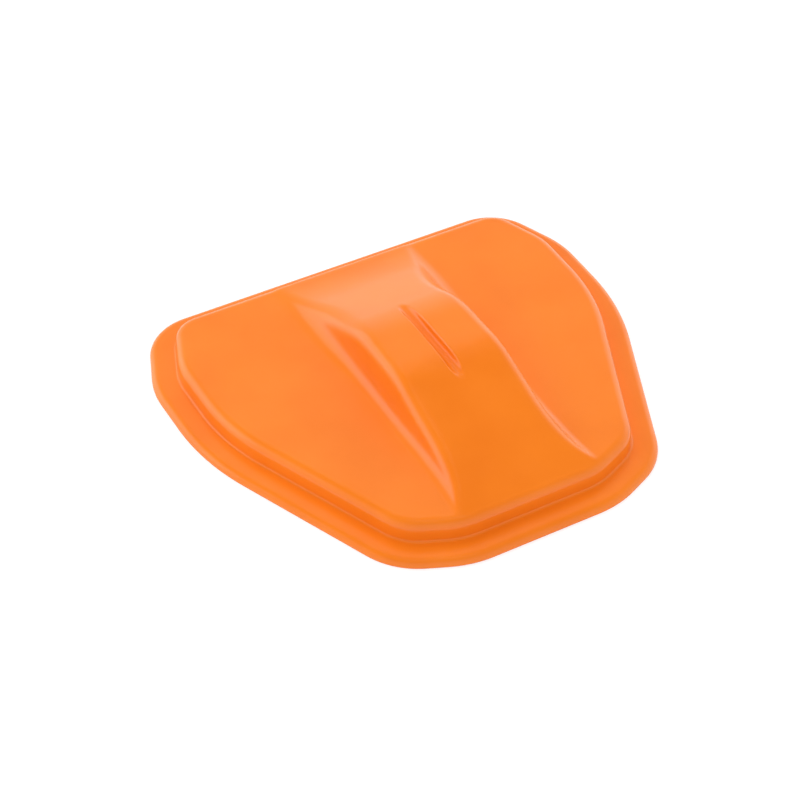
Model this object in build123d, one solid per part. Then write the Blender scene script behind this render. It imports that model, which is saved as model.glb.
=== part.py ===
"""Air filter housing with a lift-off cover, drawn in millimetres.

Origin: on the ground, under the middle of the cover. X runs across, +Y points at the long back edge,
-Y at the short front edge, and +Z is up.
"""
import math
import os

from build123d import *

# Cover planform: half of the flange outline before its corners are rounded, from the back edge to the
# front edge, and the radius of each corner. The other half is its mirror image in X.
OUTLINE = [(94.4, 100.7), (109.7, 61.6), (109.3, 10.1), (67.5, -87.1), (36.6, -100.7)]
CORNER_RADII = [26.0, 48.0, 119.0, 35.0, 50.0]
SMALLEST_CORNER = 1.5

# Cover section
SHEET = 2.0
FLANGE_TOP = 3.5
RIM_ROLL = 3.3
WALL_INSET = 11.9
WALL_DRAFT = 5.0
CROWN_TOP = 13.5
SHOULDER = 4.4
RIB_RISE = 22.0
COVER_TOP = CROWN_TOP + RIB_RISE
FOOT_FILLET = 1.2
SEAL_OUTER_INSET = 3.5
SEAL_INNER_INSET = 13.0

# Raised rib along the middle of the cover: place along Y, height over the crown, half width of its
# top, and half width where it stands on the crown.
RIB_STATIONS = [
    (-83.4, 0.8, 33.0, 33.6),
    (-60.0, 8.2, 28.8, 30.8),
    (-44.0, 13.2, 27.2, 29.2),
    (-16.0, RIB_RISE, 26.8, 28.9),
    (19.0, RIB_RISE, 26.8, 28.9),
    (40.0, 14.1, 27.4, 29.8),
    (58.0, 7.4, 29.4, 31.4),
    (83.4, 0.9, 35.0, 35.8),
]
RIB_ROOT = 3.0
RIB_ROUND = 3.0

# Groove pressed into the rib's crest
GROOVE_WIDTH = 5.6
GROOVE_DEPTH = 2.5
GROOVE_BACK = 32.0
GROOVE_FRONT = -32.0

# Base tray
TRAY_INSET = 15.4
TRAY_FLOOR = 2.0
TRAY_RIM_TOP = 7.0
TRAY_RIM_WALL = 1.8

# Filter element: a hump of foam over a cage, under the rib
ELEMENT_HALF_WIDTH = 22.0
ELEMENT_FRONT = -62.0
ELEMENT_BACK = 60.0
ELEMENT_TOP = 25.4
CREST_FRONT = -14.0
CREST_BACK = 18.0
FRONT_SLOPE = 0.304
BACK_SLOPE = 0.330
FRAME_BOTTOM = 4.5
FRAME_TOP = 7.0
FRAME_MARGIN = 9.0
FRAME_CORNER = 8.0
SEAL_WIDTH = 5.0
COARSE_FOAM = 3.0
FINE_FOAM = 3.0
SCREEN_GAUGE = 0.5
CAGE_WALL = 1.6
CAGE_PITCH = 12.0
CAGE_SLOT = 9.2
CAGE_SPINE = 2.4
CAGE_SHOULDER = 3.4
CAGE_SIDE_LOW = 1.5
CAGE_SIDE_HIGH = 5.5
FOAM_ROUND = 2.0
FRAME_OPENING_HALF_WIDTH = 13.6
FRAME_OPENING_HALF_LENGTH = 38.0
CREST_MIDDLE = (CREST_FRONT + CREST_BACK) / 2

# Air outlet and mounting bolts
OUTLET_RADIUS = 13.0
RING_RADIUS = 16.0
RING_FLANGE_RADIUS = 19.0
RING_TOP = 4.2
GASKET_INNER = 20.0
GASKET_OUTER = 23.0
GASKET_DEPTH = 1.0
BOLT_X = 40.0
BOLT_Y = 56.0
BOLT_HOLE_RADIUS = 3.2
SLEEVE_RADIUS = 5.0
BOSS_RADIUS = 6.2
BOSS_TOP = 3.6

# Low walls that locate the element's frame
GUIDE_GAP = 1.0
GUIDE_WALL = 1.6
GUIDE_FRONT = -45.0
GUIDE_BACK = 50.0
GUIDE_NEAR = 14.0
GUIDE_FAR = 24.0
GUIDE_TOP = 5.5

# Inlet grilles
GRILLE_X = 63.0
GRILLE_Y = 20.0
GRILLE_WIDTH = 26.0
GRILLE_LENGTH = 46.0
GRILLE_LIP = 6.0
GRILLE_TOP = 3.2
BAR_COUNT = 7
BAR_WIDTH = 2.4
BAR_LEAN = 35.0
BAR_GAUGE = 0.9
SPINE_WIDTH = 1.6
GRILLE_CORNER = 3.0

# Retaining bail, its pivot and its catch
WIRE = 3.0
PIVOT_Y = 76.0
PIVOT_Z = 6.6
PIVOT_PIN = 3.0
EYE_RADIUS = 3.3
EYE_WIDTH = 6.0
EAR_GAP = 7.0
EAR = 1.2
CATCH_Y = -74.0
CATCH_CLEAR = 0.25
CATCH_GAUGE = 1.0
CATCH_WIDTH = 7.0
FINGER_Z = 8.9
FOAM_CLEAR = 0.15
SADDLE_SOLE = 0.5
SADDLE_HALF_WIDTH = 9.0
SADDLE_FRONT = -11.0
SADDLE_BACK = 15.0
SADDLE_PAD = 1.2
SADDLE_CORNER = 3.0
SADDLE_GRIP_HALF_WIDTH = 2.6
SADDLE_GRIP_OVER = 0.8
BAIL_BEND = 4.0
BAIL_FRONT_KNEE = 1.0
BAIL_BACK_KNEE = 2.0
FINGER_NEAR = 3.0
FINGER_FAR = 5.0
FINGER_SWELL = 0.4

# Bracket, pin, pin clip and catch
BRACKET_HALF_WIDTH = 14.0
BRACKET_HALF_LENGTH = 4.5
BRACKET_SCREW_X = 11.0
EAR_HALF_LENGTH = 3.6
FOLDED_CORNER = 2.0
PIN_OVERHANG = 2.4
PIN_HEAD = 1.0
PIN_HEAD_OVER = 0.9
PIN_CLIP_GAP = 0.4
PIN_CLIP_GAUGE = 0.6
PIN_CLIP_OVER = 1.3
PIN_CLIP_MOUTH = 1.6
CATCH_HALF_WIDTH = 12.0
CATCH_SCREW_X = 9.0
CATCH_TOP = 10.4

# Cover clips: on which side of the tray each stands, and how far along it
CLIP_PLACES = [(0, 0.5), (2, 0.42), (2, 0.85)]
CLIP_WIDTH = 10.0
CLIP_GAUGE = 0.8
CLIP_FOOT = 9.0
CLIP_CLEAR = 0.25
CLIP_NOSE = 0.75
CLIP_SCREW_IN = 5.1

# Small screws
SCREW_RADIUS = 1.5
SCREW_HEAD_RADIUS = 2.8
SCREW_HEAD = 1.6
SCREW_SOCKET = 1.1
SOCKET_DEPTH = 0.9
SCREW_EDGE = 0.4
SCREW_FLOOR = 0.4


def inset_corners(inset):
    """Corner points of the whole flange outline, moved inwards by inset."""
    points = OUTLINE + [(-x, y) for x, y in reversed(OUTLINE)]
    moved = []
    for i, (x, y) in enumerate(points):
        before = points[i - 1]
        after = points[(i + 1) % len(points)]
        a = math.atan2(y - before[1], x - before[0])
        b = math.atan2(after[1] - y, after[0] - x)
        half = (b - a + math.pi) % (2 * math.pi) - math.pi
        middle = a + half / 2 - math.pi / 2
        reach = inset / math.cos(half / 2)
        moved.append((x + reach * math.cos(middle), y + reach * math.sin(middle)))
    return moved


def outline(inset):
    """Rounded cover outline, moved inwards by inset, as a face on the ground."""
    points = inset_corners(inset)
    radii = CORNER_RADII + CORNER_RADII[::-1]
    face = make_face(Polyline(*points[::-1], close=True))
    for (x, y), radius in zip(points, radii):
        corner = face.vertices().sort_by_distance((x, y, 0))[0]
        face = fillet(corner, max(radius - inset, SMALLEST_CORNER))
    return face


def slab(inset, bottom, top):
    """Plate with the cover's outline, from bottom to top."""
    return Pos(0, 0, bottom) * extrude(outline(inset), top - bottom)


def box(x0, x1, y0, y1, z0, z1):
    """Box between two corners."""
    size = (x1 - x0, y1 - y0, z1 - z0)
    return Pos((x0 + x1) / 2, (y0 + y1) / 2, (z0 + z1) / 2) * Box(*size)


def disc(radius, bottom, top, x=0.0, y=0.0):
    """Upright cylinder."""
    return Pos(x, y, (bottom + top) / 2) * Cylinder(radius, top - bottom)


def round_top(body, radius):
    """Fillet all edges of a body's highest face."""
    return fillet(body.faces().sort_by(Axis.Z)[-1].edges(), radius)


def rib(inset):
    """Solid of the raised rib, shrunk by inset on its top and sides. Only the outside is rounded."""
    sections = []
    for y, rise, top, foot in RIB_STATIONS:
        z0 = CROWN_TOP - inset - RIB_ROOT
        z1 = CROWN_TOP - inset + rise
        a = foot - inset
        b = top - inset
        corners = [(-a, z0), (a, z0), (b, z1), (-b, z1)]
        wire = Polyline(*[(x, y, z) for x, z in corners], close=True)
        sections.append(make_face(wire))
    body = loft(sections, ruled=True)
    if inset > 0:
        return body
    crest = [e for e in body.edges() if e.center().Z > CROWN_TOP and abs(e.tangent_at(0.5).Y) > 0.8]
    return fillet(crest, RIB_ROUND)


def groove(inset):
    """Round-bottomed trough along the rib's crest; inset makes it wider and deeper."""
    radius = GROOVE_WIDTH / 2 + inset
    floor = COVER_TOP - GROOVE_DEPTH - inset
    length = GROOVE_BACK - GROOVE_FRONT + 2 * inset
    middle = (GROOVE_BACK + GROOVE_FRONT) / 2
    trough = Pos(0, middle, floor + radius) * Rot(90, 0, 0) * Cylinder(radius, length)
    above = box(-radius, radius, middle - length / 2, middle + length / 2, floor + radius, COVER_TOP + radius)
    return trough + above


def cover_form(inset):
    """Outer form of the cover, or its inner form when inset is the sheet's thickness."""
    flange = round_top(slab(inset, 0, FLANGE_TOP - inset), RIM_ROLL - inset)
    wall = extrude(outline(WALL_INSET + inset), CROWN_TOP - FLANGE_TOP, taper=WALL_DRAFT)
    crown = round_top(Pos(0, 0, FLANGE_TOP - inset) * wall, SHOULDER - inset)
    body = flange + crown
    flat = [f for f in body.faces() if abs(f.center().Z - FLANGE_TOP + inset) < 0.01 and f.inner_wires()]
    body = fillet(flat[0].inner_wires()[0].edges(), FOOT_FILLET + inset)
    return body + rib(inset) - groove(inset)


def cover_shell():
    inner = cover_form(SHEET) + slab(SHEET, -1, FLANGE_TOP / 4)
    return cover_form(0) - inner


def flange_seal():
    return slab(SEAL_OUTER_INSET, 0, FLANGE_TOP - SHEET) - slab(SEAL_INNER_INSET, -1, FLANGE_TOP)


def screw(x, y, seat, length):
    """Socket-head screw standing on seat, with its shank below."""
    head = disc(SCREW_HEAD_RADIUS, seat, seat + SCREW_HEAD, x, y)
    head = fillet(head.edges().sort_by(Axis.Z)[-1], SCREW_EDGE)
    shank = disc(SCREW_RADIUS, seat - length, seat, x, y)
    socket = extrude(RegularPolygon(SCREW_SOCKET, 6), SCREW_HEAD)
    return head + shank - Pos(x, y, seat + SCREW_HEAD - SOCKET_DEPTH) * socket


def clip_places():
    """Place and outward heading of each cover clip on the tray's rim."""
    corners = inset_corners(TRAY_INSET)
    places = []
    for start, along in CLIP_PLACES:
        (x0, y0), (x1, y1) = corners[start], corners[start + 1]
        x = x0 + (x1 - x0) * along
        y = y0 + (y1 - y0) * along
        outward = math.degrees(math.atan2(x1 - x0, y0 - y1))
        places.append((x, y, outward))
        places.append((-x, y, 180 - outward))
    return places


def cover_clip():
    """Spring clip: its foot screws to the floor, its nose reaches over the rim to the cover's wall."""
    inner = -TRAY_RIM_WALL - CLIP_CLEAR
    path = [
        (inner - CLIP_FOOT, TRAY_FLOOR),
        (inner, TRAY_FLOOR),
        (inner, TRAY_RIM_TOP + CLIP_CLEAR),
        (CLIP_NOSE, TRAY_RIM_TOP + CLIP_CLEAR),
        (CLIP_NOSE, TRAY_RIM_TOP + CLIP_CLEAR + CLIP_GAUGE),
        (inner - CLIP_GAUGE, TRAY_RIM_TOP + CLIP_CLEAR + CLIP_GAUGE),
        (inner - CLIP_GAUGE, TRAY_FLOOR + CLIP_GAUGE),
        (inner - CLIP_FOOT, TRAY_FLOOR + CLIP_GAUGE),
    ]
    face = make_face(Polyline(*[(x, 0, z) for x, z in path], close=True))
    body = Pos(0, CLIP_WIDTH / 2, 0) * extrude(face, CLIP_WIDTH, dir=(0, -1, 0))
    hole = disc(SCREW_RADIUS, 0, TRAY_RIM_TOP, clip_screw_reach(), 0)
    return body - hole


def clip_screw_reach():
    """Distance of a clip's screw from the tray's edge, negative inwards."""
    return -TRAY_RIM_WALL - CLIP_CLEAR - CLIP_SCREW_IN


def clip_screw_points():
    points = []
    for x, y, heading in clip_places():
        angle = math.radians(heading)
        reach = clip_screw_reach()
        points.append((x + reach * math.cos(angle), y + reach * math.sin(angle)))
    return points


def bolt_points():
    return [(sx * BOLT_X, sy * BOLT_Y) for sx in (-1, 1) for sy in (-1, 1)]


def bracket_screw_points():
    return [(-BRACKET_SCREW_X, PIVOT_Y), (BRACKET_SCREW_X, PIVOT_Y)]


def catch_screw_points():
    return [(-CATCH_SCREW_X, CATCH_Y), (CATCH_SCREW_X, CATCH_Y)]


def grille_screw_points(side):
    x = (GRILLE_WIDTH + GRILLE_LIP) / 2
    y = (GRILLE_LENGTH + GRILLE_LIP) / 2
    return [(side * GRILLE_X + a * x, GRILLE_Y + b * y) for a in (-1, 1) for b in (-1, 1)]


def base_tray():
    """Floor with a rim, bosses, an outlet hole and two inlet windows."""
    tray = slab(TRAY_INSET, 0, TRAY_RIM_TOP) - slab(TRAY_INSET + TRAY_RIM_WALL, TRAY_FLOOR, TRAY_RIM_TOP + 1)
    for x, y in bolt_points():
        tray += disc(BOSS_RADIUS, TRAY_FLOOR, BOSS_TOP, x, y)
        tray -= disc(SLEEVE_RADIUS, -1, BOSS_TOP + 1, x, y)
    tray -= disc(RING_RADIUS, -1, TRAY_FLOOR + 1)
    tray -= disc(GASKET_OUTER, -1, GASKET_DEPTH) - disc(GASKET_INNER, -2, GASKET_DEPTH + 1)
    for side in (-1, 1):
        x = side * GRILLE_X
        window = Pos(x, GRILLE_Y, 0) * Box(GRILLE_WIDTH, GRILLE_LENGTH, 3 * TRAY_FLOOR)
        tray -= window
        for px, py in grille_screw_points(side):
            tray -= disc(SCREW_RADIUS, SCREW_FLOOR, TRAY_RIM_TOP, px, py)
    for px, py in clip_screw_points() + bracket_screw_points() + catch_screw_points():
        tray -= disc(SCREW_RADIUS, SCREW_FLOOR, TRAY_FLOOR + 1, px, py)
    return tray + locating_walls()


def locating_walls():
    """Low walls beside and in front of the element's frame, joined to the floor."""
    x = ELEMENT_HALF_WIDTH + FRAME_MARGIN + GUIDE_GAP
    y = ELEMENT_FRONT - FRAME_MARGIN - GUIDE_GAP
    low = TRAY_FLOOR - GUIDE_GAP / 2
    walls = []
    for side in (-1, 1):
        a, b = sorted((side * x, side * (x + GUIDE_WALL)))
        walls.append(box(a, b, GUIDE_FRONT, GUIDE_BACK, low, GUIDE_TOP))
        a, b = sorted((side * GUIDE_NEAR, side * GUIDE_FAR))
        walls.append(box(a, b, y - GUIDE_WALL, y, low, GUIDE_TOP))
    return walls[0] + walls[1] + walls[2] + walls[3]


def outlet_ring():
    ring = disc(RING_RADIUS, 0, RING_TOP) + disc(RING_FLANGE_RADIUS, TRAY_FLOOR, TRAY_FLOOR + 1)
    ring -= disc(OUTLET_RADIUS, -1, RING_TOP + 1)
    return ring


def outlet_gasket():
    return disc(GASKET_OUTER, 0, GASKET_DEPTH) - disc(GASKET_INNER, -1, GASKET_DEPTH + 1)


def mounting_sleeves():
    sleeves = []
    for x, y in bolt_points():
        sleeve = disc(SLEEVE_RADIUS, 0, BOSS_TOP, x, y) - disc(BOLT_HOLE_RADIUS, -1, BOSS_TOP + 1, x, y)
        sleeves.append(sleeve)
    return Compound(children=sleeves)


def inlet_grille(side):
    """Louvred panel over one inlet window."""
    x = side * GRILLE_X
    low = TRAY_FLOOR
    outer = Box(GRILLE_WIDTH + 2 * GRILLE_LIP, GRILLE_LENGTH + 2 * GRILLE_LIP, GRILLE_TOP - low)
    panel = Pos(x, GRILLE_Y, (low + GRILLE_TOP) / 2) * fillet(outer.edges().filter_by(Axis.Z), GRILLE_CORNER)
    panel -= Pos(x, GRILLE_Y, low) * Box(GRILLE_WIDTH - 2, GRILLE_LENGTH - 2, 9)
    pitch = (GRILLE_LENGTH - 2) / BAR_COUNT
    bar = Rot(BAR_LEAN, 0, 0) * Box(GRILLE_WIDTH, BAR_WIDTH, BAR_GAUGE)
    for i in range(BAR_COUNT - 1):
        y = GRILLE_Y - GRILLE_LENGTH / 2 + 1 + (i + 1) * pitch
        panel += Pos(x, y, (low + GRILLE_TOP) / 2) * bar
    panel += Pos(x, GRILLE_Y, (low + GRILLE_TOP) / 2) * Box(SPINE_WIDTH, GRILLE_LENGTH, GRILLE_TOP - low)
    panel = panel & box(-200, 200, -200, 200, low, GRILLE_TOP)
    for px, py in grille_screw_points(side):
        panel -= disc(SCREW_RADIUS, 0, GRILLE_TOP + 1, px, py)
    return panel


def hump(inset):
    """Solid of the element's humped form, moved inwards by inset, standing on the frame's top."""
    y0 = ELEMENT_FRONT + inset
    y1 = ELEMENT_BACK - inset
    half = ELEMENT_HALF_WIDTH - inset
    top = ELEMENT_TOP - inset
    front_drop = inset * (math.hypot(1, FRONT_SLOPE) - 1)
    back_drop = inset * (math.hypot(1, BACK_SLOPE) - 1)
    front_run = (top - front_drop - FRAME_TOP) / FRONT_SLOPE
    back_run = (top - back_drop - FRAME_TOP) / BACK_SLOPE
    line = [
        (CREST_FRONT - front_run, FRAME_TOP),
        (CREST_FRONT + front_drop / FRONT_SLOPE, top),
        (CREST_BACK - back_drop / BACK_SLOPE, top),
        (CREST_BACK + back_run, FRAME_TOP),
    ]
    face = make_face(Polyline(*[(0, y, z) for y, z in line], close=True))
    body = extrude(face, half, dir=(1, 0, 0)) + extrude(face, half, dir=(-1, 0, 0))
    return body & box(-half, half, y0, y1, FRAME_TOP - 1, top + 1)


def coarse_foam():
    body = hump(0)
    long_edges = [e for e in body.edges() if e.center().Z > FRAME_TOP + 1 and abs(e.center().X) > 1]
    upper = [e for e in long_edges if abs(e.tangent_at(0.5).Z) < 0.9]
    body = fillet(upper, FOAM_ROUND)
    return body - hump(COARSE_FOAM)


def fine_foam():
    return hump(COARSE_FOAM) - hump(COARSE_FOAM + FINE_FOAM)


def flame_screen():
    start = COARSE_FOAM + FINE_FOAM
    return hump(start) - hump(start + SCREEN_GAUGE)


def support_cage():
    """Ribbed cage that carries the screen and the foam."""
    start = COARSE_FOAM + FINE_FOAM + SCREEN_GAUGE
    cage = hump(start) - hump(start + CAGE_WALL)
    half = ELEMENT_HALF_WIDTH - start
    slot = CAGE_SLOT / 2
    spine = CAGE_SPINE / 2
    edge = half - CAGE_SHOULDER
    for row in range(-3, 4):
        y = CREST_MIDDLE + row * CAGE_PITCH
        cage -= box(-edge, -spine, y - slot, y + slot, FRAME_TOP + SCREEN_GAUGE, ELEMENT_TOP)
        cage -= box(spine, edge, y - slot, y + slot, FRAME_TOP + SCREEN_GAUGE, ELEMENT_TOP)
    for row in range(-2, 3):
        y = CREST_MIDDLE + row * CAGE_PITCH
        low = FRAME_TOP + CAGE_SIDE_LOW
        cage -= box(-half - 1, half + 1, y - slot, y + slot, low, FRAME_TOP + CAGE_SIDE_HIGH)
    return cage


def frame_plate(margin, bottom, top):
    """Rounded plate around the element's footprint, larger than it by margin."""
    width = 2 * (ELEMENT_HALF_WIDTH + margin)
    length = ELEMENT_BACK - ELEMENT_FRONT + 2 * margin
    middle = (ELEMENT_BACK + ELEMENT_FRONT) / 2
    plate = Pos(0, middle, (bottom + top) / 2) * Box(width, length, top - bottom)
    return fillet(plate.edges().filter_by(Axis.Z), FRAME_CORNER)


def element_frame():
    plate = frame_plate(FRAME_MARGIN - 1, FRAME_BOTTOM, FRAME_TOP)
    x = FRAME_OPENING_HALF_WIDTH
    y = FRAME_OPENING_HALF_LENGTH
    return plate - box(-x, x, CREST_MIDDLE - y, CREST_MIDDLE + y, FRAME_BOTTOM - 1, FRAME_TOP + 1)


def element_seal():
    outer = frame_plate(FRAME_MARGIN - 2, TRAY_FLOOR, FRAME_BOTTOM)
    inner = frame_plate(FRAME_MARGIN - 2 - SEAL_WIDTH, TRAY_FLOOR - 1, FRAME_BOTTOM + 1)
    return outer - inner


def bail_points():
    """Centre line of the bail's wire, from its eye to its finger end, as (y, z)."""
    lift = WIRE / 2 + FOAM_CLEAR + SADDLE_SOLE
    crest = ELEMENT_TOP + lift
    front_lift = crest + lift * (math.hypot(1, FRONT_SLOPE) - 1)
    back_lift = crest + lift * (math.hypot(1, BACK_SLOPE) - 1)
    front_foot = ELEMENT_FRONT - BAIL_FRONT_KNEE
    back_foot = ELEMENT_BACK + BAIL_BACK_KNEE
    return [
        (PIVOT_Y - EYE_RADIUS + 0.4, PIVOT_Z + 0.4),
        (back_foot, back_lift - BACK_SLOPE * (back_foot - CREST_BACK)),
        (CREST_BACK, crest),
        (CREST_FRONT, crest),
        (front_foot, front_lift - FRONT_SLOPE * (CREST_FRONT - front_foot)),
        (CATCH_Y + FINGER_NEAR, FINGER_Z),
        (CATCH_Y - FINGER_FAR, FINGER_Z),
    ]


def retaining_bail():
    """Sprung wire over the element: an eye at the back, a finger end at the front."""
    points = [(0, y, z) for y, z in bail_points()]
    path = FilletPolyline(*points, radius=BAIL_BEND)
    section = Plane(origin=path @ 0, z_dir=path % 0) * Circle(WIRE / 2)
    wire = sweep(section, path=path)
    eye = Pos(0, PIVOT_Y, PIVOT_Z) * Rot(0, 90, 0) * Cylinder(EYE_RADIUS, EYE_WIDTH)
    bore = Pos(0, PIVOT_Y, PIVOT_Z) * Rot(0, 90, 0) * Cylinder(PIVOT_PIN / 2 + 0.05, 3 * EYE_WIDTH)
    tip = Pos(0, CATCH_Y - FINGER_FAR, FINGER_Z) * Sphere(WIRE / 2 + FINGER_SWELL)
    return wire + eye + tip - bore


def bail_saddle():
    """Moulded pad clipped round the wire, which spreads its load over the foam's crest."""
    low = ELEMENT_TOP + FOAM_CLEAR
    middle = low + SADDLE_SOLE + WIRE / 2
    pad = box(-SADDLE_HALF_WIDTH, SADDLE_HALF_WIDTH, SADDLE_FRONT, SADDLE_BACK, low, low + SADDLE_PAD)
    pad = fillet(pad.edges().filter_by(Axis.Z), SADDLE_CORNER)
    grip = SADDLE_GRIP_HALF_WIDTH
    pad += box(-grip, grip, SADDLE_FRONT, SADDLE_BACK, low, middle + SADDLE_GRIP_OVER)
    channel = Pos(0, (SADDLE_FRONT + SADDLE_BACK) / 2, middle) * Rot(90, 0, 0) * Cylinder(WIRE / 2, 60)
    mouth = box(-WIRE / 2, WIRE / 2, -60, 60, middle, middle + 5)
    return pad - channel - mouth


def bail_bracket():
    """Folded steel bracket whose two ears carry the pivot pin."""
    half = BRACKET_HALF_LENGTH
    wide = BRACKET_HALF_WIDTH
    base = box(-wide, wide, PIVOT_Y - half, PIVOT_Y + half, TRAY_FLOOR, TRAY_FLOOR + EAR)
    base = fillet(base.edges().filter_by(Axis.Z), FOLDED_CORNER)
    for side in (-1, 1):
        a, b = sorted((side * EAR_GAP / 2, side * (EAR_GAP / 2 + EAR)))
        ear = box(a, b, PIVOT_Y - EAR_HALF_LENGTH, PIVOT_Y + EAR_HALF_LENGTH, TRAY_FLOOR, PIVOT_Z)
        ear += Pos((a + b) / 2, PIVOT_Y, PIVOT_Z) * Rot(0, 90, 0) * Cylinder(EAR_HALF_LENGTH, EAR)
        base += ear
    base -= Pos(0, PIVOT_Y, PIVOT_Z) * Rot(0, 90, 0) * Cylinder(PIVOT_PIN / 2, 3 * EAR_GAP)
    for x, y in bracket_screw_points():
        base -= disc(SCREW_RADIUS, 0, TRAY_FLOOR + 3, x, y)
    return base


def pivot_pin():
    length = EAR_GAP + 2 * EAR + PIN_OVERHANG
    pin = Pos(0, PIVOT_Y, PIVOT_Z) * Rot(0, 90, 0) * Cylinder(PIVOT_PIN / 2, length)
    head = Rot(0, 90, 0) * Cylinder(PIVOT_PIN / 2 + PIN_HEAD_OVER, PIN_HEAD)
    return pin + Pos(-(length + PIN_HEAD) / 2, PIVOT_Y, PIVOT_Z) * head


def pin_clip():
    """Retaining clip on the pin's free end."""
    x = EAR_GAP / 2 + EAR + PIN_CLIP_GAP + PIN_CLIP_GAUGE / 2
    place = Pos(x, PIVOT_Y, PIVOT_Z)
    clip = Rot(0, 90, 0) * Cylinder(PIVOT_PIN / 2 + PIN_CLIP_OVER, PIN_CLIP_GAUGE)
    clip -= Rot(0, 90, 0) * Cylinder(PIVOT_PIN / 2, 2 * PIN_CLIP_GAUGE)
    mouth = PIN_CLIP_MOUTH / 2
    return place * (clip - box(-PIN_CLIP_GAUGE, PIN_CLIP_GAUGE, -mouth, mouth, 0, 2 * PIVOT_PIN))


def bail_catch():
    """U-shaped spring catch, open at the top, that grips the bail's front end."""
    gap = WIRE / 2 + CATCH_CLEAR
    low = TRAY_FLOOR
    y0 = CATCH_Y - CATCH_WIDTH / 2
    y1 = CATCH_Y + CATCH_WIDTH / 2
    base = box(-CATCH_HALF_WIDTH, CATCH_HALF_WIDTH, y0, y1, low, low + CATCH_GAUGE)
    base = fillet(base.edges().filter_by(Axis.Z), FOLDED_CORNER)
    for side in (-1, 1):
        a, b = sorted((side * gap, side * (gap + CATCH_GAUGE)))
        base += box(a, b, y0 + CATCH_GAUGE, y1 - CATCH_GAUGE, low, CATCH_TOP)
    for x, y in catch_screw_points():
        base -= disc(SCREW_RADIUS, 0, low + 3, x, y)
    return base


def group(solids):
    return Compound(children=solids)


def placed_clips():
    clip = cover_clip()
    return [Pos(x, y, 0) * Rot(0, 0, heading) * clip for x, y, heading in clip_places()]


def screws(points, seat):
    return group([screw(x, y, seat, seat - SCREW_FLOOR) for x, y in points])


def nodes():
    """All sub-parts by node name."""
    grille_points = grille_screw_points(-1) + grille_screw_points(1)
    return {
        "cover_shell": cover_shell(),
        "flange_seal": flange_seal(),
        "base_tray": base_tray(),
        "outlet_ring": outlet_ring(),
        "outlet_gasket": outlet_gasket(),
        "mounting_sleeves": mounting_sleeves(),
        "inlet_grille_left": inlet_grille(-1),
        "inlet_grille_right": inlet_grille(1),
        "grille_screws": screws(grille_points, GRILLE_TOP),
        "cover_clips": group(placed_clips()),
        "clip_screws": screws(clip_screw_points(), TRAY_FLOOR + CLIP_GAUGE),
        "bail_bracket": bail_bracket(),
        "bracket_screws": screws(bracket_screw_points(), TRAY_FLOOR + EAR),
        "pivot_pin": pivot_pin(),
        "pin_clip": pin_clip(),
        "bail_catch": bail_catch(),
        "catch_screws": screws(catch_screw_points(), TRAY_FLOOR + CATCH_GAUGE),
        "element_frame": element_frame(),
        "element_seal": element_seal(),
        "support_cage": support_cage(),
        "flame_screen": flame_screen(),
        "fine_foam": fine_foam(),
        "coarse_foam": coarse_foam(),
        "retaining_bail": retaining_bail(),
        "bail_saddle": bail_saddle(),
    }


def main():
    os.makedirs("parts", exist_ok=True)
    for name, shape in nodes().items():
        export_step(shape, f"parts/{name}.step")


main()
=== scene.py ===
import math

import bpy
import numpy as np
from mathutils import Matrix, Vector
from mathutils.geometry import delaunay_2d_cdt


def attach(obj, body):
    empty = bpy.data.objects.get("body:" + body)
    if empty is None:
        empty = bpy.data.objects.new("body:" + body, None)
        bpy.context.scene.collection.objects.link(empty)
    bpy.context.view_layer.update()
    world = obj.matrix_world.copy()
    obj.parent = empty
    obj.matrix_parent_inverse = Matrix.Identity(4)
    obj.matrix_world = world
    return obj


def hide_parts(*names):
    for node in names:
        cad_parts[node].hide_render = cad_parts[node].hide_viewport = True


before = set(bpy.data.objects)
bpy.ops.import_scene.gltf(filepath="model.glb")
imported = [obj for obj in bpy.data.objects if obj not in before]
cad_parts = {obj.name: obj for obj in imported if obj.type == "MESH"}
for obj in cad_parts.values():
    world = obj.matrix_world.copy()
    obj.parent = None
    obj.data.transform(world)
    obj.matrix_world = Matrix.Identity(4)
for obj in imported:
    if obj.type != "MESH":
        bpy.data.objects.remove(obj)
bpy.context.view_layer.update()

MM = 0.001

# ---------------------------------------------------------------- cover
# corners of the right half of the planform from back to front, in mm, and the rounding at each
OUTLINE = [(94.4, 100.7), (109.7, 61.6), (109.3, 10.1), (67.5, -87.1), (36.6, -100.7)]
CORNER_RADII = [26.0, 48.0, 119.0, 35.0, 50.0]

# section of the edge, in mm; an inset is measured inwards from the planform
RIM_ROLL = 3.5
FLANGE_TOP = 3.5
FOOT_FILLET = 1.3
DRAFT = math.radians(5.0)
SHOULDER = 4.5
FLAT_INSET = 17.0
PATCH_INSET = 18.0
CROWN_TOP = 13.5
SHEET = 2.0
FLAT_FRONT = OUTLINE[-1][1] + FLAT_INSET
FLAT_BACK = OUTLINE[0][1] - FLAT_INSET

# rib along the middle, in mm over the crown: a level crest between two folds, a slope down to the front,
# and a slope with a flatter tail down to the back
CREST = 22.0
FRONT_FOLD = -16.0
FRONT_RISE = 0.15
BACK_SLOPE = 0.375
BACK_FOLD = 19.0
TAIL_SLOPE = 0.12
TAIL_AT_EDGE = 0.9
FRONT_SOFT = 2.4
BACK_SOFT = 4.0
TAIL_SOFT = 2.6
RIB_FADE_START = 12.3
RIB_FADE_WIDTH = 3.2

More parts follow.
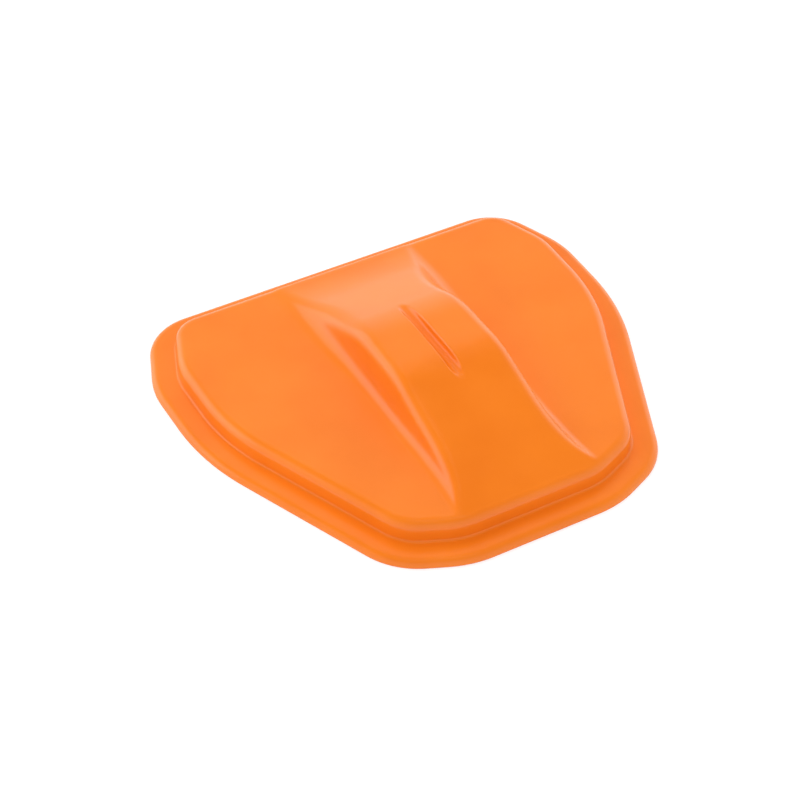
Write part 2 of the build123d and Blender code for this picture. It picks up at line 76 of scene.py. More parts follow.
# sides of the rib: steepest lean, and (y, distance from the middle) and (y, rounding) pairs
SIDE_LEAN = math.radians(85.0)
SIDE_MIDDLE = [
    (-84, 35.0),
    (-74, 31.4),
    (-64, 29.4),
    (-52, 28.4),
    (-30, 28.2),
    (25, 28.2),
    (48, 29.4),
    (64, 31.6),
    (84, 35.0),
]
SIDE_ROUND = [(-84, 7.0), (-40, 6.5), (0, 6.5), (14, 7.0), (30, 9.0), (50, 11.5), (84, 14.0)]

# groove pressed into the crest: a round floor up to its lip, then a steep rise out of the way
GROOVE_RADIUS = 3.0
GROOVE_DEPTH = 3.5
GROOVE_SOFT = 0.7
GROOVE_REACH = 5.2
LIP_SHARE = 0.98
LIP_SLOPE = 8.0
TOP_REACH = 10.0

# mesh steps: along each straight and round stretch of the half outline from front to back, round the
# edge's section, and across a row of the crown
STRAIGHT_STEPS = [20, 8, 34, 12, 12, 34]
CORNER_STEPS = [12, 16, 26, 14, 20]
SHOULDER_STEPS = 12
FOOT_STEPS = 6
ROLL_STEPS = 10
GROOVE_STEPS = 13
CREST_STEPS = 7
SIDE_ROUND_STEPS = 10
SIDE_STRAIGHT_STEPS = 4
SHORTEST_STRAIGHT = 0.05
ROW_STEP = 1.0
PANEL_STEP = 3.2
EDGE_GAP = 0.75
SLOPE_STEP = 0.01


def smooth_min(a, b, k):
    """The smaller of two values, blended where they differ by less than k."""
    gap = np.maximum(k - np.abs(a - b), 0.0)
    return np.minimum(a, b) - gap * gap / (4 * k)


def smooth_max(a, b, k):
    """The larger of two values, blended where they differ by less than k."""
    return -smooth_min(-a, -b, k)


def ramp(values, at):
    """Smooth curve through listed (place, value) pairs."""
    places = np.array([p for p, _ in values], float)
    heights = np.array([v for _, v in values], float)
    slope = np.gradient(heights, places)
    at = np.clip(at, places[0], places[-1])
    i = np.clip(np.searchsorted(places, at) - 1, 0, len(places) - 2)
    step = places[i + 1] - places[i]
    t = (at - places[i]) / step
    a = (1 + 2 * t) * (1 - t) ** 2 * heights[i] + t * (1 - t) ** 2 * step * slope[i]
    b = t * t * (3 - 2 * t) * heights[i + 1] + t * t * (t - 1) * step * slope[i + 1]
    return a + b


def inset_corners(inset):
    """Corner points of the right half of the outline, moved inwards, from front to back."""
    whole = OUTLINE + [(-x, y) for x, y in reversed(OUTLINE)]
    moved = []
    for i in range(len(OUTLINE)):
        x, y = whole[i]
        before = whole[i - 1]
        after = whole[i + 1]
        a = math.atan2(y - before[1], x - before[0])
        b = math.atan2(after[1] - y, after[0] - x)
        half = (b - a + math.pi) % (2 * math.pi) - math.pi
        middle = a + half / 2 - math.pi / 2
        reach = inset / math.cos(half / 2)
        moved.append((x + reach * math.cos(middle), y + reach * math.sin(middle)))
    return moved[::-1]


def half_ring(inset):
    """Points of the right half of the outline at an inset, from the front's middle to the back's middle."""
    corners = np.array(inset_corners(inset))
    stops = np.vstack([[0, corners[0][1]], corners, [0, corners[-1][1]]])
    here = stops[0]
    points = [here[None, :]]
    for k, radius in enumerate(CORNER_RADII[::-1]):
        radius = radius - inset
        into = stops[k + 1] - stops[k]
        into /= np.linalg.norm(into)
        out = stops[k + 2] - stops[k + 1]
        out /= np.linalg.norm(out)
        turn = math.acos(np.clip(into @ out, -1, 1))
        start = stops[k + 1] - into * radius * math.tan(turn / 2)
        side = np.array([-into[1], into[0]])
        centre = start + side * radius
        t = np.linspace(0, 1, STRAIGHT_STEPS[k] + 1)[1:, None]
        points.append(here + (start - here) * t)
        angle = np.linspace(0, turn, CORNER_STEPS[k] + 1)[1:, None]
        points.append(centre - side * radius * np.cos(angle) + into * radius * np.sin(angle))
        here = points[-1][-1]
    t = np.linspace(0, 1, STRAIGHT_STEPS[-1] + 1)[1:, None]
    points.append(here + (stops[-1] - here) * t)
    return np.vstack(points)


def section():
    """The cover's edge in section, from the crown's flat top out to the rim: (inset, height) pairs."""
    out = [(PATCH_INSET, CROWN_TOP), ((PATCH_INSET + FLAT_INSET) / 2, CROWN_TOP)]
    for a in np.linspace(math.pi / 2, DRAFT, SHOULDER_STEPS + 1):
        out.append((FLAT_INSET - SHOULDER * math.cos(a), CROWN_TOP - SHOULDER + SHOULDER * math.sin(a)))
    wall_inset, wall_height = out[-1]
    touch_height = FLANGE_TOP + FOOT_FILLET * (1 - math.sin(DRAFT))
    touch_inset = wall_inset - (wall_height - touch_height) * math.tan(DRAFT)
    for t in (0.33, 0.67):
        inset = wall_inset + (touch_inset - wall_inset) * t
        out.append((inset, wall_height + (touch_height - wall_height) * t))
    centre_inset = touch_inset - FOOT_FILLET * math.cos(DRAFT)
    centre_height = FLANGE_TOP + FOOT_FILLET
    for a in np.linspace(DRAFT, math.pi / 2, FOOT_STEPS + 1):
        out.append((centre_inset + FOOT_FILLET * math.cos(a), centre_height - FOOT_FILLET * math.sin(a)))
    for t in (0.25, 0.5, 0.75):
        out.append((centre_inset + (RIM_ROLL - centre_inset) * t, FLANGE_TOP))
    for a in np.linspace(math.pi / 2, 0.0, ROLL_STEPS + 1):
        out.append((RIM_ROLL - RIM_ROLL * math.cos(a), FLANGE_TOP - RIM_ROLL + RIM_ROLL * math.sin(a)))
    return out


def rib_rise(y):
    """Height of the rib's crest over the crown."""
    front_slope = (CREST - FRONT_RISE) / (FRONT_FOLD - FLAT_FRONT)
    front = CREST + front_slope * (y - FRONT_FOLD)
    back = CREST - BACK_SLOPE * (y - BACK_FOLD)
    tail = TAIL_AT_EDGE + TAIL_SLOPE * (FLAT_BACK - y)
    back = smooth_max(back, tail, TAIL_SOFT)
    level = np.full_like(y, CREST)
    return smooth_min(smooth_min(front, level, FRONT_SOFT), back, BACK_SOFT)


def rib_side(y):
    """Rise of the rib, the rounding and steepest lean of its side, and where the side starts and ends."""
    rise = np.maximum(rib_rise(y), 1e-3)
    rounding = ramp(SIDE_ROUND, y)
    rolled = 2 * rounding * (1 - math.cos(SIDE_LEAN))
    lean = np.where(rise < rolled, np.arccos(1 - np.minimum(rise, rolled) / (2 * rounding)), SIDE_LEAN)
    half = rounding * np.sin(lean) + np.maximum(rise - rolled, 0) / np.tan(SIDE_LEAN) / 2
    middle = ramp(SIDE_MIDDLE, y)
    return rise, rounding, lean, middle - half, middle + half


def groove_height(x, thickness):
    """Height of the groove's round floor, or of its underside a thickness lower."""
    radius = GROOVE_RADIUS + thickness
    lip = radius * LIP_SHARE
    floor = CREST - GROOVE_DEPTH + GROOVE_RADIUS - np.sqrt(radius ** 2 - np.clip(x, 0, lip) ** 2)
    return floor + np.maximum(x - lip, 0) * LIP_SLOPE


def surface_height(x, y):
    """Height of the rib and its groove over the crown at any point."""
    x = np.abs(x)
    rise, r, lean, start, end = rib_side(y)
    x1 = start + r * np.sin(lean)
    z1 = rise - r * (1 - np.cos(lean))
    x2 = end - r * np.sin(lean)
    z2 = r * (1 - np.cos(lean))
    across = np.clip((x - x1) / np.maximum(x2 - x1, 1e-6), 0, 1)
    z = z1 + (z2 - z1) * across
    over = np.clip(x - start, 0, None)
    z = np.where(x < x1, rise - r + np.sqrt(np.maximum(r ** 2 - over ** 2, 0)), z)
    under = np.clip(end - x, 0, None)
    z = np.where(x > x2, r - np.sqrt(np.maximum(r ** 2 - under ** 2, 0)), z)
    z = np.where(x >= end, 0, z)
    return smooth_min(z, groove_height(x, 0.0), GROOVE_SOFT)


def row_points(y, edge_x):
    """Places across the right half of the crown at one row, out to its edge."""
    _, r, lean, start, end = (float(v[0]) for v in rib_side(np.array([y])))
    x1 = start + r * math.sin(lean)
    x2 = end - r * math.sin(lean)
    line = list(np.linspace(0, GROOVE_REACH, GROOVE_STEPS + 1)[1:])
    line += list(np.linspace(GROOVE_REACH, start, CREST_STEPS + 1)[1:])
    line += [start + r * math.sin(a) for a in np.linspace(0, lean, SIDE_ROUND_STEPS + 1)[1:]]
    if x2 - x1 > SHORTEST_STRAIGHT:
        line += list(np.linspace(x1, x2, SIDE_STRAIGHT_STEPS + 1)[1:])
    line += [end - r * math.sin(a) for a in np.linspace(lean, 0, SIDE_ROUND_STEPS + 1)[1:]]
    steps = max(int((edge_x - end) / PANEL_STEP), 1)
    line += list(np.linspace(end, edge_x, steps + 1)[1:-1])
    return [x for x in line if x < edge_x]


def clear_of(points, line, gap):
    """The points farther than a gap from a line given by its corners."""
    start = line[:-1]
    along = line[1:] - start
    length = np.maximum((along ** 2).sum(axis=1), 1e-9)
    t = ((points[:, None] - start) * along).sum(axis=2) / length
    near = start + np.clip(t, 0, 1)[:, :, None] * along
    apart = np.linalg.norm(points[:, None] - near, axis=2).min(axis=1)
    return points[apart > gap]


def crown_patch():
    """The right half of the crown's top with the rib, as points and triangles."""
    edge = half_ring(PATCH_INSET)
    front = edge[0, 1]
    back = edge[-1, 1]
    rows = np.linspace(front, back, int((back - front) / ROW_STEP) + 1)[1:-1]
    middle = np.column_stack([np.zeros(len(rows)), rows[::-1]])
    border = np.vstack([edge, middle])
    inside = []
    side = edge[(edge[:, 1] > front + 1e-6) & (edge[:, 1] < back - 1e-6)]
    for y in rows:
        edge_x = float(np.interp(y, side[:, 1], side[:, 0]))
        inside += [(x, y) for x in row_points(y, edge_x)]
    every = np.vstack([border, clear_of(np.array(inside), edge, EDGE_GAP)])
    loop = list(range(len(border)))
    sides = [(i, (i + 1) % len(border)) for i in loop]
    # the last two arguments ask for triangles inside the loop only, and set the joining distance
    _, _, triangles, sources, _, _ = delaunay_2d_cdt([Vector(p) for p in every], sides, [loop], 1, 1e-6)
    points = every[[source[0] for source in sources]]
    height = CROWN_TOP + surface_height(points[:, 0], points[:, 1])
    return np.column_stack([points, height]), [tuple(f) for f in triangles]


def edge_rings():
    """The right half of the cover's edge, from the crown's flat top to the rim, as a grid of points."""
    rings = []
    for inset, height in section():
        ring = half_ring(inset)
        fade = np.clip((inset - RIB_FADE_START) / RIB_FADE_WIDTH, 0, 1)
        fade = fade * fade * (3 - 2 * fade)
        z = height + fade * surface_height(ring[:, 0], ring[:, 1])
        rings.append(np.column_stack([ring, z]))
    return np.array(rings)


def grid_faces(rows, columns):
    """Four-sided faces between the neighbours of a grid of points."""
    faces = []
    for i in range(rows - 1):
        for j in range(columns - 1):
            a = i * columns + j
            faces.append((a, a + columns, a + columns + 1, a + 1))
    return faces


def weld(points, faces, tolerance=1e-4):
    """Joins points that lie in the same place, and drops faces that this leaves without an area."""
    keys = np.round(points / tolerance).astype(np.int64)
    _, first, back = np.unique(keys, axis=0, return_index=True, return_inverse=True)
    back = back.ravel()
    order = np.argsort(first)
    place = np.empty(len(order), int)
    place[order] = np.arange(len(order))
    kept = points[first[order]]
    mapped = [tuple(place[back[v]] for v in f) for f in faces]
    out = []
    for f in mapped:
        g = tuple(v for i, v in enumerate(f) if v != f[i - 1])
        if len(g) >= 3:
            out.append(g)
    return kept, out


def both_halves(halves):
    """Joins right halves, given as points and faces, with their mirror images."""
    points = []
    faces = []
    for sign in (1, -1):
        for half, half_faces in halves:
            start = len(points)
            points.extend(half * np.array([sign, 1, 1]))
            faces += [tuple(v + start for v in f[::sign]) for f in half_faces]
    return weld(np.array(points), faces)


def vertex_normals(points, faces):
    """Unit normals at the points, from the faces round each by their area."""
    normals = np.zeros_like(points)
    quads = np.array([f if len(f) == 4 else f + (f[-1],) for f in faces])
    a, b, c, d = (points[quads[:, k]] for k in range(4))
    face = np.cross(c - a, d - b)
    for k in range(4):
        np.add.at(normals, quads[:, k], face)
    return normals / np.maximum(np.linalg.norm(normals, axis=1, keepdims=True), 1e-12)


def new_mesh(name, points, faces, smooth=True):
    """A mesh object in the scene, from points in mm."""
    mesh = bpy.data.meshes.new(name)
    mesh.from_pydata((np.asarray(points) * MM).tolist(), [], [list(map(int, f)) for f in faces])
    mesh.validate()
    mesh.update()
    mesh.polygons.foreach_set("use_smooth", [smooth] * len(mesh.polygons))
    obj = bpy.data.objects.new(name, mesh)
    bpy.context.scene.collection.objects.link(obj)
    return obj


def under_surface(points, normals):
    """The cover's inside: its outside moved in by the sheet's thickness. Along the crest the groove's
    underside is rounded about the groove's own axis."""
    inner = points - normals * SHEET
    x, y = np.abs(points[:, 0]), points[:, 1]
    slope = (rib_rise(y + SLOPE_STEP) - rib_rise(y - SLOPE_STEP)) / (2 * SLOPE_STEP)
    stretch = np.hypot(1, slope)
    plain = rib_rise(y) - SHEET / stretch
    top = CROWN_TOP + smooth_min(plain, groove_height(x, SHEET), GROOVE_SOFT)
    crest = (x < TOP_REACH) & (y > FLAT_FRONT) & (y < FLAT_BACK)
    inner[crest, 0] = points[crest, 0]
    inner[crest, 1] = (y + SHEET * slope / stretch)[crest]
    inner[crest, 2] = top[crest]
    inner[:, 2] = np.maximum(inner[:, 2], 0)
    return inner


def build_cover():
    """The whole sheet: outside, inside and the rim's lower edge between them."""
    rings = edge_rings()
    edge = (rings.reshape(-1, 3), grid_faces(rings.shape[0], rings.shape[1]))
    points, faces = both_halves([crown_patch(), edge])
    inner = under_surface(points, vertex_normals(points, faces))
    count = len(points)
    edges = {(v, f[(i + 1) % len(f)]) for f in faces for i, v in enumerate(f)}
    border = [(a, b) for a, b in edges if (b, a) not in edges]
    all_faces = list(faces) + [tuple(v + count for v in f[::-1]) for f in faces]
    all_faces += [(b, a, a + count, b + count) for a, b in sorted(border)]
    return new_mesh("cover", np.vstack([points, inner]), all_faces)


# ---------------------------------------------------------------- soft pieces, in mm
SEAL_OUTER = 3.5
SEAL_INNER = 13.0
SEAL_HEIGHT = 1.5
SEAL_EDGE = 0.55
COARSE_VOXEL = 0.9
FINE_VOXEL = 1.1


def build_seal():
    """Foam strip under the flange, all the way round."""
    loop = []
    corners = [
        (SEAL_OUTER + SEAL_EDGE, SEAL_EDGE, 270),
        (SEAL_OUTER + SEAL_EDGE, SEAL_HEIGHT - SEAL_EDGE, 180),
        (SEAL_INNER - SEAL_EDGE, SEAL_HEIGHT - SEAL_EDGE, 90),
        (SEAL_INNER - SEAL_EDGE, SEAL_EDGE, 0),
    ]
    for inset, height, first in corners:
        for a in np.radians(np.linspace(first, first - 90, 5)):
            loop.append((inset + SEAL_EDGE * math.cos(a), height + SEAL_EDGE * math.sin(a)))
    loop.append(loop[0])
    rings = []
    for inset, height in loop:
        ring = half_ring(inset)
        rings.append(np.column_stack([ring, np.full(len(ring), height)]))
    rings = np.array(rings)
    strip = (rings.reshape(-1, 3), grid_faces(rings.shape[0], rings.shape[1]))
    return new_mesh("flange_seal_foam", *both_halves([strip]))


def foam_copy(name, node, voxel, smoothing, roughen):
    """Open-cell foam in the space of a CAD node: its edges soften and its faces are slightly uneven."""
    piece = bpy.data.objects.new(name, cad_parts[node].data.copy())
    bpy.context.scene.collection.objects.link(piece)
    piece.data.materials.clear()
    remesh = piece.modifiers.new("cells", "REMESH")
    remesh.mode = "VOXEL"
    remesh.voxel_size = voxel * MM
    remesh.use_smooth_shade = True
    smooth = piece.modifiers.new("soften", "SMOOTH")
    smooth.factor = 0.5
    smooth.iterations = smoothing
    uneven = bpy.data.textures.new(name, "CLOUDS")
    uneven.noise_scale = 4 * voxel * MM
    uneven.noise_depth = 2
    push = piece.modifiers.new("uneven", "DISPLACE")
    push.texture = uneven
    push.texture_coords = "LOCAL"
    push.mid_level = 1.0
    push.strength = roughen * MM
    shaped = piece.evaluated_get(bpy.context.evaluated_depsgraph_get())
    mesh = bpy.data.meshes.new_from_object(shaped)
    piece.modifiers.clear()
    piece.data = mesh
    mesh.polygons.foreach_set("use_smooth", [True] * len(mesh.polygons))
    return piece


# ---------------------------------------------------------------- materials
WAVE_SCALE = 0.314  # a Wave Texture of this scale repeats once per unit


class Finish:
    """A node material being built. Sizes are in mm, measured in the object's own coordinates."""

    def __init__(self, name, **fixed):
        self.material = bpy.data.materials.new(name)
        self.material.use_nodes = True
        self.tree = self.material.node_tree
        self.shader = self.tree.nodes["Principled BSDF"]
        self.place = self.node("ShaderNodeTexCoord").outputs["Object"]
        self.last_bump = None
        for socket, value in fixed.items():
            self.shader.inputs[socket.replace("_", " ")].default_value = value

    def node(self, kind, **settings):
        made = self.tree.nodes.new(kind)
        for key, value in settings.items():
            setattr(made, key, value)
        return made

    def link(self, output, socket):
        self.tree.links.new(output, socket)

    def stretched(self, stretch):
        """Coordinates squeezed along some axes, which draws a pattern out along them."""
        if stretch == (1, 1, 1):
            return self.place
        mapping = self.node("ShaderNodeMapping")
        mapping.inputs["Scale"].default_value = stretch
        self.link(self.place, mapping.inputs["Vector"])
        return mapping.outputs["Vector"]

    def noise(self, size, detail=3.0, stretch=(1, 1, 1)):
        made = self.node("ShaderNodeTexNoise")
        made.inputs["Scale"].default_value = 1 / (size * MM)
        made.inputs["Detail"].default_value = detail
        self.link(self.stretched(stretch), made.inputs["Vector"])
        return made.outputs["Fac"]

    def cells(self, size):
        made = self.node("ShaderNodeTexVoronoi")
        made.inputs["Scale"].default_value = 1 / (size * MM)
        self.link(self.place, made.inputs["Vector"])
        return made.outputs["Distance"]

    def stripes(self, size, direction="X", kind="BANDS", wobble=0.0):
        made = self.node("ShaderNodeTexWave", wave_type=kind)
        if kind == "BANDS":
            made.bands_direction = direction
        else:
            made.rings_direction = direction
        made.inputs["Scale"].default_value = WAVE_SCALE / (size * MM)
        made.inputs["Distortion"].default_value = wobble
        self.link(self.place, made.inputs["Vector"])
        return made.outputs["Fac"]

    def spread(self, value, low, high, to_low=0.0, to_high=1.0):
        """Maps a value's range low to high onto another range."""
        made = self.node("ShaderNodeMapRange")
        limits = {"From Min": low, "From Max": high, "To Min": to_low, "To Max": to_high}
        for socket, number in limits.items():
            made.inputs[socket].default_value = number
        self.link(value, made.inputs["Value"])
        return made.outputs["Result"]

    def combine(self, a, b, operation="MULTIPLY"):
        made = self.node("ShaderNodeMath", operation=operation)
        self.link(a, made.inputs[0])
        self.link(b, made.inputs[1])
        return made.outputs["Value"]

    def colour(self, factor, dark, light):
        made = self.node("ShaderNodeMix", data_type="RGBA")
        made.inputs[6].default_value = (*dark, 1)
        made.inputs[7].default_value = (*light, 1)
        self.link(factor, made.inputs[0])
        self.link(made.outputs[2], self.shader.inputs["Base Color"])

    def roughness(self, factor, low, high):
        self.link(self.spread(factor, 0.3, 0.7, low, high), self.shader.inputs["Roughness"])

    def bump(self, height, depth):
        """Raises the surface by a pattern, depth deep; patterns add up."""
        made = self.node("ShaderNodeBump")
        made.inputs["Distance"].default_value = depth * MM
        made.inputs["Strength"].default_value = 1.0
        self.link(height, made.inputs["Height"])
        if self.last_bump:
            self.link(self.last_bump, made.inputs["Normal"])
        self.link(made.outputs["Normal"], self.shader.inputs["Normal"])
        self.last_bump = made.outputs["Normal"]


def glossy_cover_plastic(name):
    """Orange polyethylene straight from a polished mould: faint orange peel and finger smudges."""
    f = Finish(name, IOR=1.45)
    f.colour(f.spread(f.noise(38, detail=5), 0.35, 0.65), (0.93, 0.205, 0.0090), (0.98, 0.230, 0.0125))
    f.roughness(f.noise(16, detail=4), 0.18, 0.26)
    f.bump(f.noise(2.6, detail=2), 0.010)
    f.bump(f.noise(0.6, detail=2), 0.0012)
    return f.material


def grained_plastic(name, dark, light, gloss=(0.35, 0.55), grain=0.7, depth=0.03):
    """Moulded plastic with a spark-eroded grain, dusty in places."""
    f = Finish(name, IOR=1.48)
    dust = f.spread(f.noise(24, detail=6), 0.4, 0.7)
    speck = f.spread(f.noise(0.9, detail=2), 0.45, 0.62)
    f.colour(f.combine(dust, speck), dark, light)
    f.roughness(f.noise(9, detail=4), *gloss)
    f.bump(f.noise(grain, detail=3), depth)
    f.bump(f.noise(14, detail=2), depth * 2)
    return f.material


def dusty_rubber(name):
    f = Finish(name, IOR=1.52)
    f.colour(f.spread(f.noise(6, detail=6), 0.42, 0.75), (0.012, 0.012, 0.012), (0.055, 0.05, 0.046))
    f.roughness(f.noise(3, detail=4), 0.6, 0.85)
    f.bump(f.noise(0.4, detail=4), 0.02)
    f.bump(f.stripes(3.0, "Z"), 0.01)
    return f.material


def plated_steel(name, dark, light, gloss=(0.22, 0.42), stretch=(1, 0.08, 1), spangle=5.0):
    """Zinc-plated or blued steel, drawn or pressed: fine lines along one way and cloudy plating."""
    f = Finish(name, Metallic=1.0)
    f.colour(f.spread(f.noise(spangle, detail=5), 0.35, 0.68), dark, light)
    f.roughness(f.noise(spangle / 2, detail=4), *gloss)
    f.bump(f.noise(0.35, detail=3, stretch=stretch), 0.008)
    f.bump(f.noise(1.8, detail=2), 0.012)
    return f.material


def turned_aluminium(name):
    """Fine tool rings about the outlet's axis."""
    f = Finish(name, Metallic=1.0)
    f.colour(f.spread(f.noise(4, detail=5), 0.35, 0.65), (0.56, 0.56, 0.57), (0.76, 0.76, 0.77))
    f.roughness(f.noise(2, detail=3), 0.25, 0.42)
    f.bump(f.stripes(0.45, "Z", "RINGS", wobble=0.3), 0.02)
    f.bump(f.noise(1.2, detail=2), 0.008)
    return f.material


def woven_screen(name):
    """Fine woven wire: crossing rows, with painted shade darkening the openings between them."""
    f = Finish(name, Metallic=1.0)
    weave = f.combine(f.stripes(0.9, "X"), f.stripes(0.9, "Y"))
    # painted shade: the colour goes dark in the openings between the wires
    f.colour(f.spread(weave, 0.05, 0.5), (0.06, 0.06, 0.06), (0.62, 0.6, 0.56))
    f.roughness(f.noise(1.5, detail=3), 0.3, 0.5)
    f.bump(weave, 0.15)
    return f.material


def open_foam(name, dark, light, cell):
    """Open-cell polyurethane foam, damp with filter oil: painted shade darkens the pores between lighter
    struts.
    """
    f = Finish(name, IOR=1.45, Sheen_Weight=0.25)
    pores = f.spread(f.cells(cell), 0.12, 0.62)
    small = f.spread(f.cells(cell * 0.45), 0.1, 0.6)
    patches = f.spread(f.noise(14, detail=4), 0.3, 0.75, 0.55, 1.0)
    # painted shade darkens the pores; the broad patches are uneven tone from the oil
    f.colour(f.combine(f.combine(pores, small, "MAXIMUM"), patches), dark, light)
    f.roughness(f.noise(5, detail=3), 0.55, 0.85)
    f.bump(pores, cell * 0.5)
    f.bump(small, cell * 0.2)
    return f.material


def closed_foam(name):
    """Black closed-cell strip, with a skin of tiny pits darkened by painted shade."""
    f = Finish(name, IOR=1.45, Sheen_Weight=0.15)
    pits = f.spread(f.cells(0.55), 0.15, 0.6)
    # painted shade darkens the pits; the broad noise is uneven tone
    f.colour(f.combine(pits, f.noise(8, detail=4)), (0.008, 0.008, 0.009), (0.05, 0.05, 0.052))
    f.roughness(f.noise(4, detail=3), 0.65, 0.9)
    f.bump(pits, 0.12)
    f.bump(f.noise(5, detail=2), 0.15)
    return f.material


BLACK = ((0.012, 0.012, 0.013), (0.06, 0.058, 0.054))
GREY = ((0.035, 0.036, 0.038), (0.11, 0.108, 0.104))
ZINC = ((0.50, 0.50, 0.48), (0.74, 0.74, 0.71))
BLUED = ((0.16, 0.17, 0.19), (0.34, 0.35, 0.37))
BRIGHT = ((0.58, 0.57, 0.55), (0.78, 0.77, 0.75))

FINISHES = {
    "cover_plastic": glossy_cover_plastic("cover_plastic"),
    "seal_foam": closed_foam("seal_foam"),
    "tray_plastic": grained_plastic("tray_plastic", *BLACK),
    "ring_aluminium": turned_aluminium("ring_aluminium"),
    "gasket_rubber": dusty_rubber("gasket_rubber"),
    "sleeve_steel": plated_steel("sleeve_steel", *ZINC, stretch=(1, 1, 0.08)),
    "grille_plastic": grained_plastic("grille_plastic", *GREY, grain=0.45, depth=0.02),
    "screw_steel": plated_steel("screw_steel", *BLUED, gloss=(0.28, 0.45), stretch=(1, 1, 0.1), spangle=2.0),
    "spring_steel": plated_steel("spring_steel", *BLUED, gloss=(0.18, 0.34)),
    "bracket_steel": plated_steel("bracket_steel", *ZINC, gloss=(0.25, 0.45), spangle=3.0),
    "pin_steel": plated_steel("pin_steel", *BRIGHT, gloss=(0.12, 0.28), stretch=(0.05, 1, 1), spangle=3.0),
    "frame_plastic": grained_plastic("frame_plastic", *GREY, gloss=(0.4, 0.6)),
    "screen_steel": woven_screen("screen_steel"),
    # each foam's darker colour is the painted shade in its pores
    "fine_foam": open_foam("fine_foam", (0.22, 0.02, 0.012), (0.72, 0.11, 0.07), 0.9),
    "coarse_foam": open_foam("coarse_foam", (0.012, 0.05, 0.17), (0.10, 0.27, 0.62), 1.5),
    "wire_steel": plated_steel("wire_steel", *BRIGHT, gloss=(0.16, 0.32), stretch=(1, 0.05, 1), spangle=6.0),
    "saddle_plastic": grained_plastic("saddle_plastic", *BLACK, gloss=(0.3, 0.5), grain=0.5, depth=0.02),
}
SLOT_OF_NODE = {
    "base_tray": "tray_plastic",
    "outlet_ring": "ring_aluminium",
    "outlet_gasket": "gasket_rubber",
    "mounting_sleeves": "sleeve_steel",
    "inlet_grille_left": "grille_plastic",
    "inlet_grille_right": "grille_plastic",
    "grille_screws": "screw_steel",
    "clip_screws": "screw_steel",
    "bracket_screws": "screw_steel",
    "catch_screws": "screw_steel",
    "cover_clips": "spring_steel",
    "pin_clip": "spring_steel",
    "bail_bracket": "bracket_steel",
    "bail_catch": "bracket_steel",
    "pivot_pin": "pin_steel",
    "element_frame": "frame_plastic",
    "support_cage": "frame_plastic",
    "element_seal": "gasket_rubber",
    "flame_screen": "screen_steel",
    "retaining_bail": "wire_steel",
    "bail_saddle": "saddle_plastic",
}


def dress(piece, node, slot, body):
    """Gives a new piece its finish, and puts it in a CAD node's place on a body."""
    piece.data.materials.clear()
    piece.data.materials.append(FINISHES[slot])
    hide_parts(node)
    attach(piece, body)


for node, slot in SLOT_OF_NODE.items():
    for material_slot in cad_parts[node].material_slots:
        material_slot.material = FINISHES[slot]

cover = build_cover()
dress(cover, "cover_shell", "cover_plastic", "cover")

seal = build_seal()
dress(seal, "flange_seal", "seal_foam", "cover")

coarse = foam_copy("coarse_foam_layer", "coarse_foam", COARSE_VOXEL, 5, 0.25)
dress(coarse, "coarse_foam", "coarse_foam", "element")

fine = foam_copy("fine_foam_layer", "fine_foam", FINE_VOXEL, 3, 0.2)
dress(fine, "fine_foam", "fine_foam", "element")

# ---------------------------------------------------------------- floor, light and camera
FLOOR_SIZE = 6.0
# brightness of the surroundings: (sine of the elevation, level) pairs
TENT = [(0.0, 1.0), (0.36, 1.0), (0.52, 0.72), (0.70, 0.52), (0.80, 0.24), (0.97, 0.12)]


def build_floor():
    half = FLOOR_SIZE / 2 / MM
    corners = [(-half, -half, 0), (half, -half, 0), (half, half, 0), (-half, half, 0)]
    floor = new_mesh("floor", corners, [(0, 1, 2, 3)], smooth=False)
    f = Finish("floor_paper", Emission_Color=(1, 1, 1, 1), Emission_Strength=0.4)
    f.colour(f.noise(40, detail=3), (0.67, 0.67, 0.67), (0.69, 0.69, 0.69))
    f.roughness(f.noise(12, detail=3), 0.85, 0.95)
    f.bump(f.noise(1.0, detail=3), 0.01)
    floor.data.materials.append(f.material)


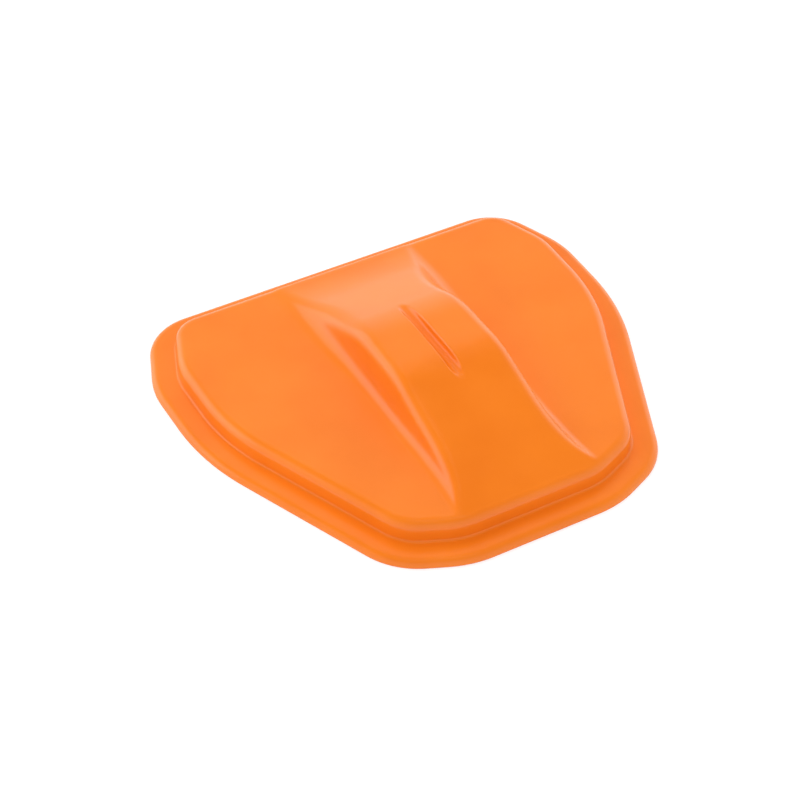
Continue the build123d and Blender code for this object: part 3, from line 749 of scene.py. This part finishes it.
def build_world():
    """A white tent: bright around the horizon, dim towards its top."""
    world = bpy.data.worlds.new("studio")
    bpy.context.scene.world = world
    world.use_nodes = True
    tree = world.node_tree
    back = tree.nodes["Background"]
    coords = tree.nodes.new("ShaderNodeTexCoord")
    split = tree.nodes.new("ShaderNodeSeparateXYZ")
    shade = tree.nodes.new("ShaderNodeValToRGB")
    tree.links.new(coords.outputs["Generated"], split.inputs[0])
    tree.links.new(split.outputs["Z"], shade.inputs["Fac"])
    tree.links.new(shade.outputs["Color"], back.inputs["Color"])
    stops = shade.color_ramp
    for spare in list(stops.elements)[1:]:
        stops.elements.remove(spare)
    stops.elements[0].position = TENT[0][0]
    stops.elements[0].color = (TENT[0][1],) * 3 + (1,)
    for height, level in TENT[1:]:
        stop = stops.elements.new(height)
        stop.color = (level, level, level, 1)
    back.inputs["Strength"].default_value = 1.0


def area_light(name, place, size, power, glossy):
    data = bpy.data.lights.new(name, "AREA")
    data.shape = "RECTANGLE"
    data.size, data.size_y = size
    data.energy = power
    lamp = bpy.data.objects.new(name, data)
    bpy.context.scene.collection.objects.link(lamp)
    lamp.location = place
    lamp.rotation_euler = (Vector((0, 0, 0)) - Vector(place)).to_track_quat("-Z", "Y").to_euler()
    lamp.visible_glossy = glossy


def build_camera():
    azimuth = math.radians(-28.957)
    elevation = math.radians(42.52)
    distance = 0.98561
    target = Vector((-0.0167, -0.0017, 0.0055))
    back = Vector((
        math.sin(azimuth) * math.cos(elevation),
        -math.cos(azimuth) * math.cos(elevation),
        math.sin(elevation),
    ))
    data = bpy.data.cameras.new("camera")
    data.lens = 99.0
    data.sensor_width = 36.0
    camera = bpy.data.objects.new("camera", data)
    bpy.context.scene.collection.objects.link(camera)
    camera.location = target + back * distance
    camera.rotation_euler = (-back).to_track_quat("-Z", "Y").to_euler()
    bpy.context.scene.camera = camera


bpy.context.scene.view_settings.view_transform = "Standard"
build_floor()
build_world()
area_light("overhead", (0.0, -0.2, 1.6), (0.9, 0.9), 8.0, False)
area_light("key", (0.3, 1.1, 1.7), (1.0, 1.0), 11.5, False)
area_light("left panel", (-1.3, 1.16, 0.6), (1.9, 1.3), 9.0, True)
area_light("right panel", (1.5, 0.85, 0.5), (1.5, 1.1), 2.5, True)
build_camera()
